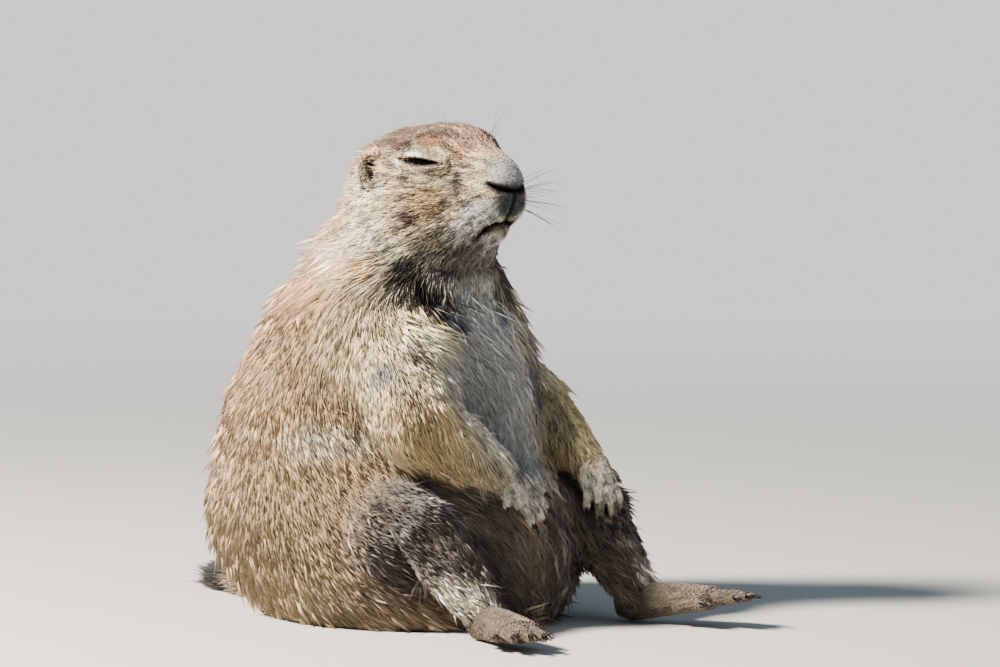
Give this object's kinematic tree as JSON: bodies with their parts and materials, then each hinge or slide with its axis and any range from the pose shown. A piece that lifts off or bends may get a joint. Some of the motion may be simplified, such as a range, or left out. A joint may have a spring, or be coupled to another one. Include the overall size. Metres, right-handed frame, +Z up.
{
  "type": "prairie dog",
  "caption": "Life-size still model of a sitting black-tailed prairie dog, back upright, hind legs stretched forward, hands hanging over belly and knee, eyes nearly closed.",
  "frame": {"origin": "the middle of the flat under the rump, on the plane that the animal sits on", "axes": "+Z up, the animal faces -Y, and its left side is +X"},
  "size_m": [0.1403, 0.2849, 0.1973],
  "materials": {
    "coat": "short dense fur, tawny and grizzled",
    "pale_coat": "short pale buff fur",
    "tail_coat": "long bristly black fur",
    "bare_skin": "fine-haired grey skin",
    "claw": "smooth dark horn",
    "eye": "wet and black"
  },
  "bodies": {
    "root": {"torso": "coat", "neck": "coat", "head": "coat", "tail": "coat", "tail_tip": "tail_coat", "nose": "bare_skin", "right_upper_arm": "coat", "right_forearm": "coat", "right_thigh": "coat", "right_shin": "coat", "right_hand": "pale_coat", "right_hand_first_claw": "claw", "right_hand_second_claw": "claw", "right_hand_third_claw": "claw", "right_hand_fourth_claw": "claw", "right_hand_fifth_claw": "claw", "right_foot": "pale_coat", "right_foot_first_claw": "claw", "right_foot_second_claw": "claw", "right_foot_third_claw": "claw", "right_foot_fourth_claw": "claw", "right_foot_fifth_claw": "claw", "right_ear": "pale_coat", "right_eye": "eye", "left_upper_arm": "coat", "left_forearm": "coat", "left_thigh": "coat", "left_shin": "coat", "left_hand": "pale_coat", "left_hand_first_claw": "claw", "left_hand_second_claw": "claw", "left_hand_third_claw": "claw", "left_hand_fourth_claw": "claw", "left_hand_fifth_claw": "claw", "left_foot": "pale_coat", "left_foot_first_claw": "claw", "left_foot_second_claw": "claw", "left_foot_third_claw": "claw", "left_foot_fourth_claw": "claw", "left_foot_fifth_claw": "claw", "left_ear": "pale_coat", "left_eye": "eye"}
  },
  "joints": []
}
